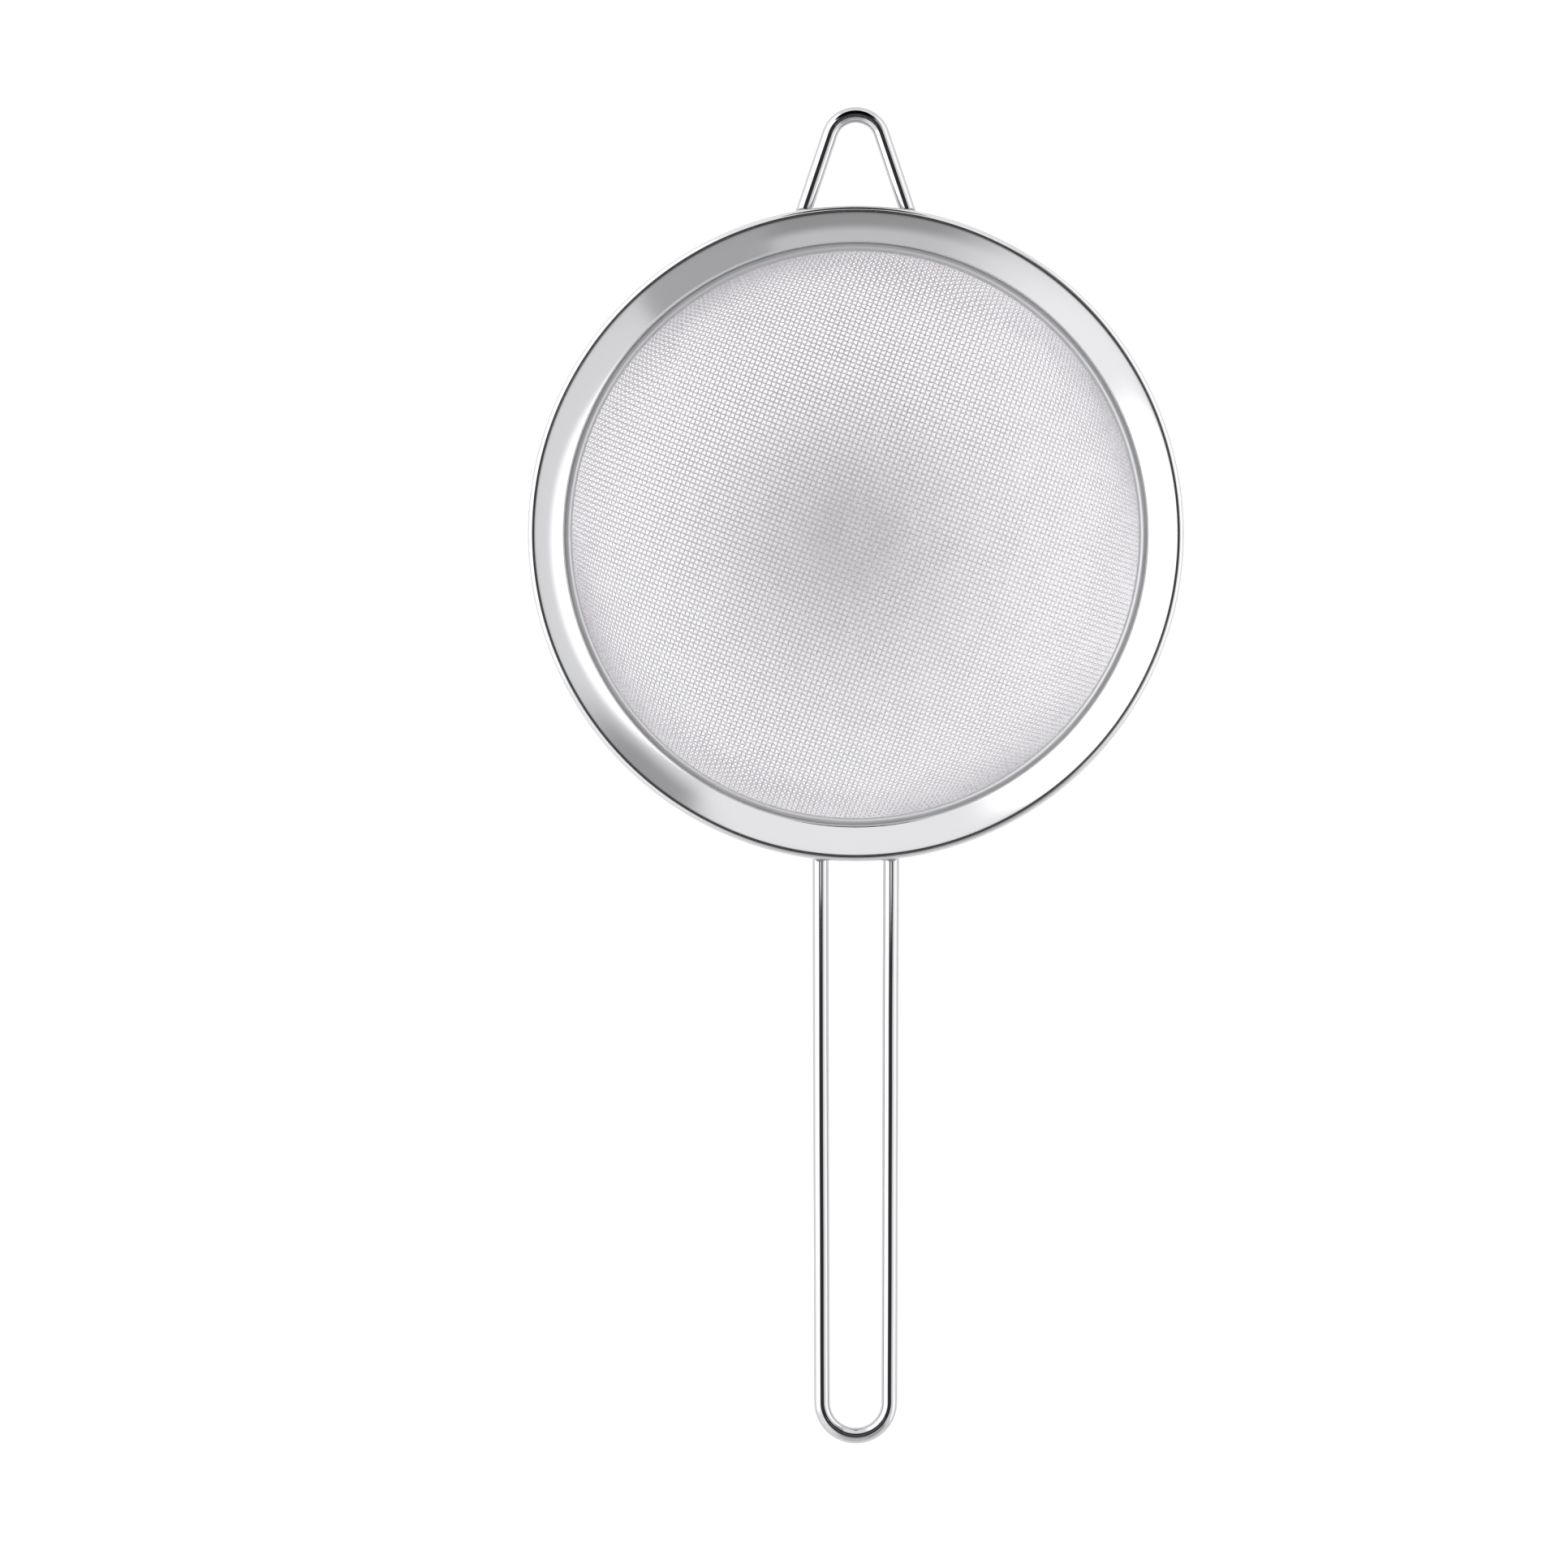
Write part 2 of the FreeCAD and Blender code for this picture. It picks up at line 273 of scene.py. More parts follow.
@dataclass(frozen=True)
class Finish:
    """A metal finish: its colour and how rough its surface is."""

    name: str
    tint: str
    roughness: float
    roughness_spread: float
    pattern_low: float = 0.3
    pattern_high: float = 0.7

    def build(self) -> bpy.types.Material:
        """Make the material.

        Returns:
            A Principled material with this finish's texture.
        """
        material = bpy.data.materials.new(self.name)
        material.use_nodes = True
        tree = material.node_tree
        shader = tree.nodes["Principled BSDF"]
        shader.inputs["Metallic"].default_value = 1.0
        shader.inputs["Base Color"].default_value = linear(self.tint)
        place = add_node(tree, "ShaderNodeTexCoord").outputs["Object"]
        self.texture(tree, shader, place)
        return material

    def texture(
        self, tree: bpy.types.NodeTree, shader: bpy.types.Node, place: bpy.types.NodeSocket
    ) -> None:
        """Add the finish's own texture to its shader."""
        raise NotImplementedError

    def vary_roughness(
        self, tree: bpy.types.NodeTree, shader: bpy.types.Node, factor: bpy.types.NodeSocket
    ) -> None:
        """Drive the roughness between its two ends by a pattern.

        Args:
            tree: The material's node tree.
            shader: Its shader.
            factor: The pattern, mostly between the finish's pattern_low and pattern_high.
        """
        spread = add_node(
            tree,
            "ShaderNodeMapRange",
            links={"Value": factor},
            values={
                "From Min": self.pattern_low,
                "From Max": self.pattern_high,
                "To Min": self.roughness,
                "To Max": self.roughness + self.roughness_spread,
            },
        )
        tree.links.new(spread.outputs["Result"], shader.inputs["Roughness"])


@dataclass(frozen=True)
class SpunPolish(Finish):
    """AISI 304 sheet, pressed and then polished on a spindle.

    It gives the eye a bright mirror with the faintest rings round the axis, and a few cloudy
    patches where the buffing wheel pressed less.
    """

    cloud_mm: float = 7.0
    ring_mm: float = 0.16
    ring_depth_mm: float = 0.0012
    ring_strength: float = 0.35

    def texture(
        self, tree: bpy.types.NodeTree, shader: bpy.types.Node, place: bpy.types.NodeSocket
    ) -> None:
        """Add buffing clouds to the roughness and spindle rings to the bump."""
        cloud = add_noise(tree, place, self.cloud_mm, detail=4.0, roughness=0.6)
        self.vary_roughness(tree, shader, cloud)
        flat = add_node(
            tree,
            "ShaderNodeVectorMath",
            links={0: place},
            values={1: (1.0, 1.0, 0.0)},
            operation="MULTIPLY",
        )
        radius = add_node(
            tree, "ShaderNodeVectorMath", links={0: flat.outputs["Vector"]}, operation="LENGTH"
        )
        # Real buffing lines are a few hundredths of a millimetre apart; these are drawn coarser.
        rings = add_node(
            tree,
            "ShaderNodeTexNoise",
            links={"W": radius.outputs["Value"]},
            values={"Scale": 1 / (self.ring_mm * MM), "Detail": 2.0},
            noise_dimensions="1D",
        )
        add_bump(tree, rings.outputs["Fac"], self.ring_strength, self.ring_depth_mm)


@dataclass(frozen=True)
class DrawnWire(Finish):
    """AISI 304 wire, drawn through a die and electropolished.

    It gives the eye a clear mirror in the round, with fine lines along the wire.
    """

    line_mm: float = 0.12
    line_stretch: float = 60.0
    line_depth_mm: float = 0.0010
    line_strength: float = 0.25

    def texture(
        self, tree: bpy.types.NodeTree, shader: bpy.types.Node, place: bpy.types.NodeSocket
    ) -> None:
        """Add drawing lines along the wire to the roughness and the bump."""
        stretched = add_node(
            tree,
            "ShaderNodeMapping",
            links={"Vector": place},
            values={"Scale": (1.0, 1 / self.line_stretch, 1.0)},
        )
        lines = add_noise(tree, stretched.outputs["Vector"], self.line_mm, detail=3.0)
        self.vary_roughness(tree, shader, lines)
        add_bump(tree, lines, self.line_strength, self.line_depth_mm)


@dataclass(frozen=True)
class ClothWire(Finish):
    """Fine AISI 304 wire, annealed, woven and degreased.

    It gives the eye a soft grey sparkle that is a little uneven from one patch of cloth to the
    next.
    """

    shade: str = "#DFDDE0"
    patch_mm: float = 5.0
    grain_mm: float = 0.3

    def texture(
        self, tree: bpy.types.NodeTree, shader: bpy.types.Node, place: bpy.types.NodeSocket
    ) -> None:
        """Add patches to the colour and a fine grain to the roughness."""
        # A Mix node set to RGBA takes its two colours at inputs 6 and 7 and gives output 2.
        colour = add_node(
            tree,
            "ShaderNodeMix",
            links={"Factor": add_noise(tree, place, self.patch_mm, detail=5.0, roughness=0.65)},
            values={6: linear(self.shade), 7: linear(self.tint)},
            data_type="RGBA",
        )
        tree.links.new(colour.outputs[2], shader.inputs["Base Color"])
        self.vary_roughness(tree, shader, add_noise(tree, place, self.grain_mm, detail=2.0))


@dataclass(frozen=True)
class WeldMetal(Finish):
    """Resistance weld in stainless steel, left as it cooled and lightly cleaned.

    It gives the eye a dull, slightly lumpy bead with straw and blue heat tint.
    """

    straw: str = "#9E968A"
    blue: str = "#7C7F86"
    tint_mm: float = 0.9
    blue_end: float = 0.35
    straw_middle: float = 0.48
    clean_start: float = 0.62
    lump_mm: float = 0.25
    lump_depth_mm: float = 0.02
    lump_strength: float = 0.6

    def texture(
        self, tree: bpy.types.NodeTree, shader: bpy.types.Node, place: bpy.types.NodeSocket
    ) -> None:
        """Add heat tint to the colour and lumps to the bump."""
        heat = add_noise(tree, place, self.tint_mm, detail=3.0)
        ramp = add_node(tree, "ShaderNodeValToRGB", links={"Fac": heat})
        stops = ramp.color_ramp.elements
        stops[0].position, stops[0].color = self.blue_end, linear(self.blue)
        stops[1].position, stops[1].color = self.clean_start, linear(self.tint)
        stops.new(self.straw_middle).color = linear(self.straw)
        tree.links.new(ramp.outputs["Color"], shader.inputs["Base Color"])
        lumps = add_noise(tree, place, self.lump_mm, detail=3.0)
        self.vary_roughness(tree, shader, lumps)
        add_bump(tree, lumps, self.lump_strength, self.lump_depth_mm)


# ------------------------------------------------------------------------------- spun pieces


class SectionPen:
    """Draws the visible face of a spun sheet as a chain of edges, then spins it and thickens it."""

    MERGE = 0.001 * MM

    def __init__(self, radius: float, height: float) -> None:
        """Start the chain at a radius and height in millimetres."""
        self.mesh = bmesh.new()
        start = (radius * MM, 0.0, height * MM)
        self.tip = bmesh.ops.create_vert(self.mesh, co=start)["vert"][0]

    def line(self, radius: float, height: float) -> None:
        """Draw a straight run to a radius and height in millimetres."""
        self.tip = bmesh.ops.extrude_vert_indiv(self.mesh, verts=[self.tip])["verts"][0]
        self.tip.co = (radius * MM, 0.0, height * MM)

    def bend(self, centre: tuple[float, float], clockwise: float, steps: int) -> None:
        """Draw a bend about a centre.

        Args:
            centre: Radius and height of the bend's centre, in millimetres.
            clockwise: The angle that it turns, in degrees.
            steps: The number of edges.
        """
        turned = bmesh.ops.spin(
            self.mesh,
            geom=[self.tip],
            cent=(centre[0] * MM, 0.0, centre[1] * MM),
            axis=(0.0, 1.0, 0.0),
            angle=math.radians(clockwise),
            steps=steps,
        )
        self.tip = next(v for v in turned["geom_last"] if isinstance(v, BMVert))

    def spin(self, steps: int, gauge: float, burr: float) -> BMesh:
        """Spin the chain about the Z axis and give it a wall behind its visible face.

        Args:
            steps: The number of facets round the axis.
            gauge: The sheet's thickness in millimetres.
            burr: How much its cut edges are broken, in millimetres.

        Returns:
            The closed mesh.
        """
        mesh = self.mesh
        bmesh.ops.spin(
            mesh,
            geom=mesh.verts[:] + mesh.edges[:],
            cent=(0.0, 0.0, 0.0),
            axis=(0.0, 0.0, 1.0),
            angle=math.tau,
            steps=steps,
            use_merge=True,
        )
        bmesh.ops.remove_doubles(mesh, verts=mesh.verts[:], dist=self.MERGE)
        bmesh.ops.recalc_face_normals(mesh, faces=mesh.faces[:])
        lowest = min(mesh.faces, key=lambda f: f.calc_center_median().z)
        if lowest.normal.dot(lowest.calc_center_median()) > 0:
            bmesh.ops.reverse_faces(mesh, faces=mesh.faces[:])
        bmesh.ops.solidify(mesh, geom=mesh.faces[:], thickness=gauge * MM)
        break_edges(mesh, burr)
        return mesh


def lower_meeting(
    first: tuple[float, float], first_radius: float, second: tuple[float, float], second_radius: float
) -> tuple[float, float]:
    """Find the lower of the two points where two circles meet.

    Args:
        first: Centre of the left circle.
        first_radius: Its radius.
        second: Centre of the right circle.
        second_radius: Its radius.

    Returns:
        The point, in the circles' own units.
    """
    across, up = second[0] - first[0], second[1] - first[1]
    apart = math.hypot(across, up)
    along = (apart**2 + first_radius**2 - second_radius**2) / (2 * apart)
    aside = math.sqrt(first_radius**2 - along**2)
    return (
        first[0] + (along * across + aside * up) / apart,
        first[1] + (along * up - aside * across) / apart,
    )


def heading_from(centre: tuple[float, float], point: tuple[float, float]) -> float:
    """Give the direction from one point of a section to another, in degrees."""
    return math.degrees(math.atan2(point[1] - centre[1], point[0] - centre[0]))


@dataclass
class RimAssembly:
    """The pressed rim band and the ring that clamps the cloth inside it."""

    polish: SpunPolish
    ring_polish: SpunPolish
    gauge: float = 0.4
    burr: float = 0.06
    facets: int = 320
    bend_steps: int = 12
    flange_steps: int = 16
    curl_steps: int = 44
    shoulder_bend: float = 0.8
    flange_crown: float = 14.0
    curl_bend: float = 0.65
    lip_bend: float = 0.5
    lip_below_shoulder: float = 0.1
    swell_mm: float = 16.0
    swell_depth_mm: float = 0.02

    def build_band(self) -> BMesh:
        """Spin the band: collar, shoulder, crowned flange and curled edge.

        Returns:
            The band's mesh.
        """
        low, high = node_size("rim_band")
        bore = mount_radius("cup_seat") - self.gauge
        foot = node_size("mesh_clamp_ring")[1].z + self.lip_below_shoulder
        shoulder_at = (bore + self.shoulder_bend, foot)
        curl_at = (high.x - self.curl_bend, high.z - self.curl_bend)
        crown_at = lower_meeting(
            shoulder_at,
            self.flange_crown - self.shoulder_bend,
            curl_at,
            self.flange_crown - self.curl_bend,
        )
        steep = heading_from(crown_at, shoulder_at)
        shallow = heading_from(crown_at, curl_at)
        pen = SectionPen(bore, low.z)
        pen.line(bore, low.z + 3 * self.burr)
        pen.line(bore, foot - self.burr)
        pen.line(bore, foot)
        pen.bend(shoulder_at, 180 - steep, self.bend_steps)
        pen.bend(crown_at, steep - shallow, self.flange_steps)
        pen.bend(curl_at, shallow + 180, self.curl_steps)
        mesh = pen.spin(self.facets, self.gauge, self.burr)
        soften(mesh, self.swell_mm, self.swell_depth_mm)
        return mesh

    def build_ring(self) -> BMesh:
        """Spin the clamp ring: a straight wall and a lip turned over the cloth's edge.

        Returns:
            The ring's mesh.
        """
        low, high = node_size("mesh_clamp_ring")
        inside = mount_radius("bowl_mouth")
        spring = high.z - self.lip_bend
        pen = SectionPen(inside, low.z)
        pen.line(inside, low.z + 3 * self.burr)
        pen.line(inside, spring)
        pen.bend((inside + self.lip_bend, spring), 90, self.bend_steps)
        pen.line(high.x - 3 * self.burr, high.z)
        pen.line(high.x, high.z)
        return pen.spin(self.facets, self.gauge, self.burr)

    def build(self) -> None:
        """Make both pieces."""
        sheet = self.polish.build()
        publish(self.build_band(), "rim_band_polished", sheet, ["rim_band"])
        ring = self.ring_polish.build()
        publish(self.build_ring(), "clamp_ring_polished", ring, ["mesh_clamp_ring"])


# -------------------------------------------------------------------------------- woven bowl


@dataclass
class WovenBowl:
    """Plain-woven wire cloth drawn into a bowl, every wire a tube of its own.

    The cloth drapes as a real one does: neighbouring crossings stay one pitch apart along both
    wires, and the angle between the wires closes towards the bowl's diagonals.
    """

    finish: ClothWire
    pitch: float = 0.635
    wire_dia: float = 0.22
    gauge: float = 0.4
    weave_turn: float = -20.5
    knuckle_bend: float = 22.0
    crown_bend: float = 42.0
    hidden_edge: float = 1.2
    crimp: float = 0.82
    crest_end: float = 0.25
    settle_rounds: int = 10
    shares: int = 3

    def __post_init__(self) -> None:
        """Work out the middle surface of the cloth from the CAD bowl's box."""
        low, high = node_size("mesh_bowl")
        half = self.gauge / 2
        self.side = high.x - half
        self.seam = node_size("rim_band")[0].z
        self.top = self.seam + self.hidden_edge
        self.crown = self.crown_bend - half
        self.knuckle = self.knuckle_bend - half
        self.crown_z = low.z + self.crown_bend
        self.knuckle_r = high.x - self.knuckle_bend
        self.meeting = math.atan2(self.seam - self.crown_z, self.knuckle_r)
        self.crown_arc = self.crown * (self.meeting + math.pi / 2)
        self.knuckle_arc = self.knuckle * -self.meeting

    def meridian(self, length: float) -> Vector:
        """Walk along the cloth from the bottom of the bowl, in the XZ plane.

        Args:
            length: The distance along the cloth in millimetres.

        Returns:
            The point reached.
        """
        if length < self.crown_arc:
            angle = length / self.crown - math.pi / 2
            radius, height = self.crown * math.cos(angle), self.crown * math.sin(angle)
            return Vector((radius, 0.0, self.crown_z + height))
        if length < self.crown_arc + self.knuckle_arc:
            angle = self.meeting + (length - self.crown_arc) / self.knuckle
            radius, height = self.knuckle * math.cos(angle), self.knuckle * math.sin(angle)
            return Vector((self.knuckle_r + radius, 0.0, self.seam + height))
        return Vector((self.side, 0.0, self.seam + length - self.crown_arc - self.knuckle_arc))

    def settle(self, point: Vector) -> tuple[Vector, Vector]:
        """Find the nearest point of the cloth's middle surface.

        Args:
            point: Any point near the cloth.

        Returns:
            The point on the surface, and the surface's outward normal there.
        """
        radius = math.hypot(point.x, point.y)
        if radius < ON_AXIS:
            return UP * (self.crown_z - self.crown), -UP
        out = Vector((point.x / radius, point.y / radius, 0.0))
        if point.z >= self.seam:
            return out * self.side + UP * point.z, out
        if math.atan2(point.z - self.crown_z, radius) < self.meeting:
            centre, bend = UP * self.crown_z, self.crown
        else:
            centre, bend = out * self.knuckle_r + UP * self.seam, self.knuckle
        normal = (point - centre).normalized()
        return centre + normal * bend, normal

    def drape(self) -> dict[tuple[int, int], Vector]:
        """Lay the crossings of one quarter of the cloth onto the bowl.

        Returns:
            Crossing numbers from the middle, across and along, to the crossing's place.
        """
        reach = self.crown_arc + self.knuckle_arc + self.top - self.seam
        count = int(reach / self.pitch) + 1
        places: dict[tuple[int, int], Vector] = {}
        for number in range(count):
            point = self.meridian(number * self.pitch)
            places[number, 0] = point
            places[0, number] = Vector((0.0, point.x, point.z))
        for across in range(1, count):
            for along in range(1, count):
                beside = places.get((across - 1, along))
                before = places.get((across, along - 1))
                if beside is None or before is None or max(beside.z, before.z) > self.top:
                    continue
                point = beside + before - places[across - 1, along - 1]
                for _ in range(self.settle_rounds):
                    point, _normal = self.settle(point)
                    from_beside = beside + (point - beside).normalized() * self.pitch
                    from_before = before + (point - before).normalized() * self.pitch
                    point = (from_beside + from_before) / 2
                places[across, along] = self.settle(point)[0]
        return places

    def wire(self, crossings: list[Vector], starts_over: bool) -> list[Vector]:
        """Crimp one wire over and under those it crosses.

        Args:
            crossings: Its crossings in order, on the middle surface.
            starts_over: Whether it lies on the inner side at its first crossing.

        Returns:
            The points of its centre line.
        """
        lift = self.wire_dia / 2 * self.crimp
        line = []
        for number, crossing in enumerate(crossings):
            sign = -1.0 if starts_over == (number % 2 == 0) else 1.0
            offset = self.settle(crossing)[1] * (lift * sign)
            for neighbour in (number - 1, number + 1):
                if 0 <= neighbour < len(crossings):
                    line.append(crossing.lerp(crossings[neighbour], self.crest_end) + offset)
        return line

    def wires(self, places: dict[tuple[int, int], Vector], weft: bool) -> list[list[Vector]]:
        """Follow every wire of one direction across the whole bowl.

        Args:
            places: The crossings of one quarter.
            weft: Whether these are the weft wires, which run across.

        Returns:
            The centre lines of the wires.
        """
        count = max(number for number, _ in places) + 1
        turn = Matrix.Rotation(math.radians(self.weave_turn), 3, "Z")
        lines = []
        for place in range(1 - count, count):
            crossings, first = [], None
            for step in range(1 - count, count):
                across, along = (step, place) if weft else (place, step)
                quarter = places.get((abs(across), abs(along)))
                if quarter is None:
                    continue
                first = across + along if first is None else first
                flip = Vector((math.copysign(1, across), math.copysign(1, along), 1.0))
                crossings.append(turn @ (quarter * flip))
            if len(crossings) > 2:
                lines.append(self.wire(crossings, starts_over=(first % 2 == 0) != weft))
        return lines

    def tubes(self, name: str, lines: Iterable[list[Vector]]) -> bpy.types.Mesh:
        """Turn centre lines into round wires.

        Args:
            name: The mesh's name.
            lines: The wires' centre lines in millimetres.

        Returns:
            The wires' mesh, in metres.
        """
        curve = bpy.data.curves.new(name, "CURVE")
        curve.dimensions = "3D"
        curve.bevel_depth = self.wire_dia / 2 * MM
        curve.bevel_resolution = 1
        curve.use_fill_caps = True
        for line in lines:
            spline = curve.splines.new("POLY")
            spline.points.add(len(line) - 1)
            for point, place in zip(spline.points, line):
                point.co = (*(place * MM), 1.0)
        holder = bpy.data.objects.new(name + "_path", curve)
        mesh = bpy.data.meshes.new_from_object(holder)
        mesh.name = name
        bpy.data.objects.remove(holder)
        bpy.data.curves.remove(curve)
        return mesh

    def build(self) -> None:
        """Make the warp and weft wires, each in a few pieces."""
        material = self.finish.build()
        places = self.drape()
        LOG.info("cloth: %d crossings in a quarter", len(places))
        for word, weft in (("warp", False), ("weft", True)):
            lines = self.wires(places, weft)
            total = sum(len(line) for line in lines)
            share: list[list[Vector]] = []
            points, number = 0, 1
            for line in lines:
                share.append(line)
                points += len(line)
                if points >= total * number / self.shares or line is lines[-1]:
                    name = f"cloth_{word}_{number}"
                    publish(self.tubes(name, share), name, material, ["mesh_bowl"])
                    share, number = [], number + 1


# -------------------------------------------------------------------------------- bent wires


@dataclass
class WireLoop:
    """One length of wire: a leg, a round bend and a second leg."""

    node: str
    side: Side
    bend: float
    root_half: float
    finish: DrawnWire
    sides: int = 40
    leg_steps: int = 30
    bend_steps: int = 56
    burr: float = 0.12
    waver_mm: float = 17.0
    waver_depth_mm: float = 0.03

    def tangent_point(self, root: Vector, centre: Vector) -> Vector:
        """Find where the leg on the +X side meets the bend.

        Args:
            root: The leg's root.
            centre: The bend's centre.

        Returns:
            The point, in millimetres.
        """
        away = root - centre
        opening = math.acos(self.bend / away.length) * self.side.value
        angle = math.atan2(away.y, away.x) + opening
        return centre + Vector((math.cos(angle), math.sin(angle), 0.0)) * self.bend

    def draw(self) -> BMesh:
        """Draw the wire from its right root round the bend to its left root.

        Returns:
            The wire's closed mesh.
        """
        low, high = node_size(self.node)
        radius = (high.z - low.z) / 2
        side = self.side.value
        height = (high.z + low.z) / 2
        near, far = sorted((low.y, high.y), key=abs)
        root = Vector((self.root_half, near, height))
        centre = Vector((0.0, far - side * (radius + self.bend), height))
        touch = self.tangent_point(root, centre)
        leg = touch - root
        mesh = bmesh.new()
        turn = leg.to_track_quat("Z", "Y").to_matrix().to_4x4()
        bmesh.ops.create_circle(
            mesh,
            cap_ends=True,
            segments=self.sides,
            radius=radius * MM,
            matrix=Matrix.Translation(root * MM) @ turn,
        )
        edges = self.stretch(mesh, mesh.edges[:], leg)
        start = math.atan2(touch.y - centre.y, touch.x)
        sweep = math.pi - 2 * start if side > 0 else -math.pi - 2 * start
        spun = bmesh.ops.spin(
            mesh,
            geom=edges,
            cent=centre * MM,
            axis=(0.0, 0.0, 1.0),
            angle=sweep,
            steps=self.bend_steps,
        )
        edges = [e for e in spun["geom_last"] if isinstance(e, BMEdge)]
        edges = self.stretch(mesh, edges, Vector((leg.x, -leg.y, 0.0)))
        bmesh.ops.contextual_create(mesh, geom=edges)
        bmesh.ops.recalc_face_normals(mesh, faces=mesh.faces[:])
        break_edges(mesh, self.burr)
        soften(mesh, self.waver_mm, self.waver_depth_mm)
        return mesh

    def stretch(self, mesh: BMesh, edges: list[BMEdge], run: Vector) -> list[BMEdge]:
        """Extrude a ring of edges along a straight run.

        Args:
            mesh: The wire's mesh.
            edges: The ring at the start.
            run: The run's direction and length in millimetres.

        Returns:
            The ring at the end.
        """
        for _ in range(self.leg_steps):
            made = bmesh.ops.extrude_edge_only(mesh, edges=edges)["geom"]
            verts = [v for v in made if isinstance(v, BMVert)]
            fresh = set(verts)
            edges = [e for e in made if isinstance(e, BMEdge) and set(e.verts) <= fresh]
            bmesh.ops.translate(mesh, verts=verts, vec=run * MM / self.leg_steps)
        return edges

    def build(self) -> None:
        """Make the piece."""
        publish(self.draw(), self.node + "_wire", self.finish.build(), [self.node])


# ------------------------------------------------------------------------------------- welds


@dataclass
class Welds:
    """The weld puddles between the wires and the rim."""

    finish: WeldMetal
    subdivisions: int = 4
    lump_mm: float = 0.7
    lump_depth_mm: float = 0.09

    def build(self) -> None:
        """Make a flattened bead for every weld node."""
        material = self.finish.build()
        for node in sorted(n for n in frame["nodes"] if "_weld_" in n):
            low, high = node_size(node)
            half = (high - low) / 2
            mesh = bmesh.new()
            bmesh.ops.create_icosphere(mesh, subdivisions=self.subdivisions, radius=1.0)
            bmesh.ops.scale(mesh, vec=half * MM, verts=mesh.verts[:])
            bmesh.ops.translate(mesh, vec=(low + high) / 2 * MM, verts=mesh.verts[:])
            soften(mesh, self.lump_mm, self.lump_depth_mm)
            publish(mesh, node + "_bead", material, [node])


# ------------------------------------------------------------------------------------ studio


@dataclass(frozen=True)
class Glow:
    """A bright or dark patch of the light tent, in degrees round the Z axis and from straight up."""

    name: str
    azimuth: float
    half_azimuth: float
    zenith: float
    half_zenith: float
    soft: float
    strength: float
    corner: float = 2.0

    def weight(self, azimuth: float, zenith: float) -> float:
        """Say how far a direction lies inside the patch.

        Args:
            azimuth: Degrees round from +X towards +Y.
            zenith: Degrees from straight up.

        Returns:
            1 inside, 0 outside, and a smooth step between them.
        """
        turn = abs((azimuth - self.azimuth + 180) % 360 - 180) / self.half_azimuth
        climb = abs(zenith - self.zenith) / self.half_zenith
        reach = (turn**self.corner + climb**self.corner) ** (1 / self.corner)
        step = min(max((1 + self.soft - reach) / (2 * self.soft), 0.0), 1.0)
        return step * step * (3 - 2 * step)


def shining(name: str, strength: float = 1.0) -> bpy.types.Material:
    """Make a material that only shines.

    Args:
        name: Its name.
        strength: How bright it is.

    Returns:
        The material.
    """
    material = bpy.data.materials.new(name)
    material.use_nodes = True
    tree = material.node_tree
    tree.nodes.clear()
    lit = add_node(tree, "ShaderNodeEmission", values={"Strength": strength})
    add_node(tree, "ShaderNodeOutputMaterial", links={"Surface": lit.outputs["Emission"]})
    return material


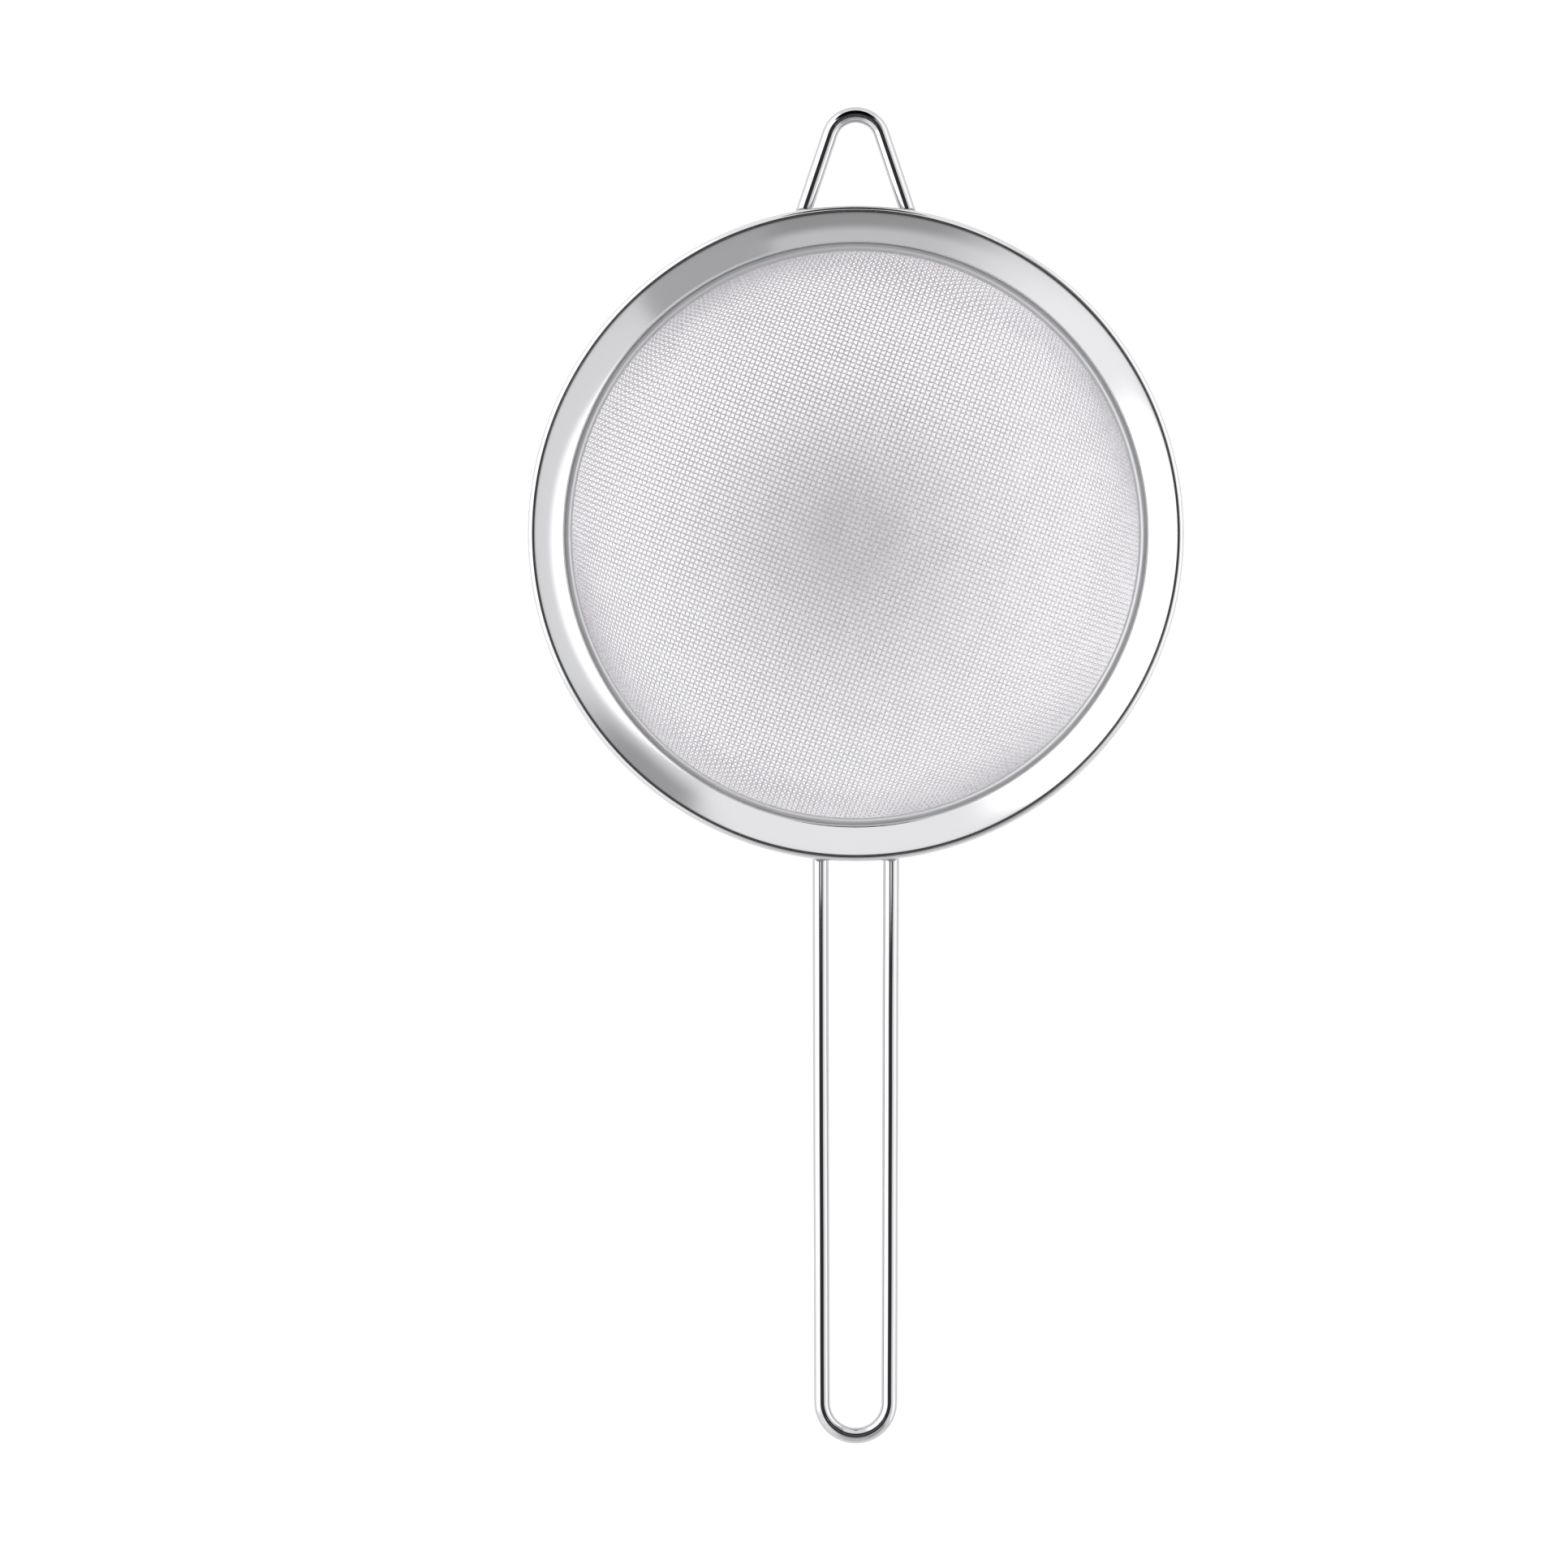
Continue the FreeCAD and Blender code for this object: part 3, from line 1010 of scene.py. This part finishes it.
@dataclass
class Studio:
    """A pale lit floor, a light tent with bright and dark patches, and the camera."""

    frame_width_mm: float = 193.2
    aim_mm: tuple[float, float] = (-8.85, -30.88)
    lens: float = 280.0
    floor_half: float = 4.0
    floor_tint: str = "#F2F2F2"
    floor_roughness: float = 0.9
    floor_glow: float = 0.22
    room_glow: float = 0.9
    tent_radius: float = 1.2
    tent_glow: float = 1.1
    tent_rings: int = 120
    tent_spokes: int = 240
    patches: tuple[Glow, ...] = (
        Glow("left_wall", 217.0, 22.0, 60.0, 42.0, 0.5, 1.38),
        Glow("far_corner", 50.0, 14.0, 35.0, 18.0, 0.6, 0.5),
        Glow("hook_side_wall", 88.0, 28.0, 58.0, 34.0, 0.08, 1.30, 6.0),
        Glow("left_window", 160.0, 45.0, 60.0, 36.0, 0.10, 2.0, 4.0),
        Glow("right_window", 10.0, 46.0, 81.0, 33.0, 0.12, 1.85),
        Glow("handle_side_wall", 277.0, 28.0, 52.0, 34.0, 0.30, 0.84, 4.0),
        Glow("handle_side_shade", 277.0, 30.0, 28.0, 17.5, 0.30, 0.46, 3.0),
        Glow("doorway", 301.0, 13.8, 46.0, 20.0, 0.07, 0.60, 8.0),
        Glow("ceiling_hole", 0.0, 360.0, 0.0, 28.0, 0.12, 0.05),
    )
    lamp_mm: tuple[float, float, float] = (900.0, 25.0, 8.0)
    lamp_at_mm: tuple[float, float, float] = (0.0, -46.0, 1180.0)
    lamp_glow: float = 1.1
    flag_mm: tuple[float, float, float] = (30.0, 6.0, 32.0)
    flag_at_mm: tuple[float, float, float] = (0.0, 66.0, 24.0)
    oval_rings: int = 24

    def build_round(
        self,
        name: str,
        size_mm: tuple[float, float, float],
        at_mm: tuple[float, float, float],
        glow: float,
    ) -> None:
        """Hang an oval lamp or black flag that only the metal sees.

        Args:
            name: Its name.
            size_mm: Its three widths.
            at_mm: Its middle.
            glow: How bright it is.
        """
        mesh = bmesh.new()
        rings = self.oval_rings
        bmesh.ops.create_uvsphere(mesh, u_segments=2 * rings, v_segments=rings, radius=MM / 2)
        bmesh.ops.scale(mesh, vec=size_mm, verts=mesh.verts[:])
        bmesh.ops.translate(mesh, vec=Vector(at_mm) * MM, verts=mesh.verts[:])
        oval = show(mesh, name, shining(name, glow))
        oval.visible_camera = False
        oval.visible_diffuse = False
        oval.visible_shadow = False
        oval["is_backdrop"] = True

    def build_tent(self) -> None:
        """Hang the tent, out of the camera's sight but seen in the metal."""
        mesh = bmesh.new()
        bmesh.ops.create_uvsphere(
            mesh,
            u_segments=self.tent_spokes,
            v_segments=self.tent_rings,
            radius=self.tent_radius,
        )
        bmesh.ops.bisect_plane(
            mesh,
            geom=mesh.verts[:] + mesh.edges[:] + mesh.faces[:],
            plane_co=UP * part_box("mesh_bowl")[0].z,
            plane_no=UP,
            clear_inner=True,
        )
        bmesh.ops.reverse_faces(mesh, faces=mesh.faces[:])
        layer = mesh.verts.layers.float.new("glow")
        for vert in mesh.verts:
            zenith = math.degrees(vert.co.angle(UP))
            azimuth = math.degrees(math.atan2(vert.co.y, vert.co.x))
            glow = self.tent_glow
            for patch in self.patches:
                glow += (patch.strength - glow) * patch.weight(azimuth, zenith)
            vert[layer] = glow
        material = shining("light_tent")
        tree = material.node_tree
        painted = add_node(tree, "ShaderNodeAttribute", attribute_name="glow")
        tree.links.new(painted.outputs["Fac"], tree.nodes["Emission"].inputs["Strength"])
        tent = show(mesh, "light_tent", material)
        tent.visible_camera = False
        tent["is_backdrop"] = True

    def build_floor(self) -> None:
        """Lay an opal floor, lit from below, under the lowest wire of the bowl."""
        material = bpy.data.materials.new("opal_floor")
        material.use_nodes = True
        shader = material.node_tree.nodes["Principled BSDF"]
        shader.inputs["Base Color"].default_value = linear(self.floor_tint)
        shader.inputs["Roughness"].default_value = self.floor_roughness
        shader.inputs["Specular IOR Level"].default_value = 0.0
        shader.inputs["Emission Color"].default_value = linear("#FFFFFF")
        shader.inputs["Emission Strength"].default_value = self.floor_glow
        mesh = bmesh.new()
        bmesh.ops.create_grid(mesh, x_segments=1, y_segments=1, size=self.floor_half)
        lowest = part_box("mesh_bowl")[0].z
        bmesh.ops.translate(mesh, vec=UP * lowest, verts=mesh.verts[:])
        show(mesh, "floor", material)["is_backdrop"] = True

    def build_room(self) -> None:
        """Fill the room with even soft light."""
        world = bpy.data.worlds.new("soft_room")
        world.use_nodes = True
        backdrop = world.node_tree.nodes["Background"]
        backdrop.inputs["Color"].default_value = linear("#FFFFFF")
        backdrop.inputs["Strength"].default_value = self.room_glow
        bpy.context.scene.world = world

    def build_camera(self) -> None:
        """Hang the camera straight above, looking down into the bowl."""
        lens = bpy.data.cameras.new("camera")
        lens.lens = self.lens
        distance = self.frame_width_mm * MM * self.lens / lens.sensor_width
        camera = bpy.data.objects.new("camera", lens)
        rim_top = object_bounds()[1].z
        camera.location = (self.aim_mm[0] * MM, self.aim_mm[1] * MM, rim_top + distance)
        bpy.context.scene.collection.objects.link(camera)
        bpy.context.scene.camera = camera

    def build(self) -> None:
        """Set up the whole studio."""
        self.build_camera()
        self.build_floor()
        self.build_room()
        self.build_tent()
        self.build_round("ceiling_lamp", self.lamp_mm, self.lamp_at_mm, self.lamp_glow)
        self.build_round("hook_flag", self.flag_mm, self.flag_at_mm, 0.0)
        bpy.context.scene.view_settings.view_transform = "Standard"


# -------------------------------------------------------------------------------------- main


def main() -> None:
    """Build the studio and every sub-assembly."""
    logging.basicConfig(level=logging.INFO, format="%(name)s: %(message)s")
    noise.seed_set(SHAPE_SEED)
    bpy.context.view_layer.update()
    Studio().build()
    sheet = SpunPolish("polished_304_sheet", "#CBCBCD", 0.09, 0.05)
    ring = SpunPolish("rolled_304_strip", "#C4C4C6", 0.46, 0.10)
    RimAssembly(sheet, ring).build()
    WovenBowl(ClothWire("woven_304_wire", "#F0EEF1", 0.46, 0.12)).build()
    wire = DrawnWire("electropolished_304_wire", "#BEBEC0", 0.03, 0.03)
    WireLoop("handle_loop", Side.HANDLE, 4.15, 4.35, wire).build()
    WireLoop("rest_hook", Side.HOOK, 3.35, 7.4, wire).build()
    Welds(WeldMetal("weld_metal", "#98958F", 0.38, 0.25)).build()


if __name__ == "__main__":
    main()
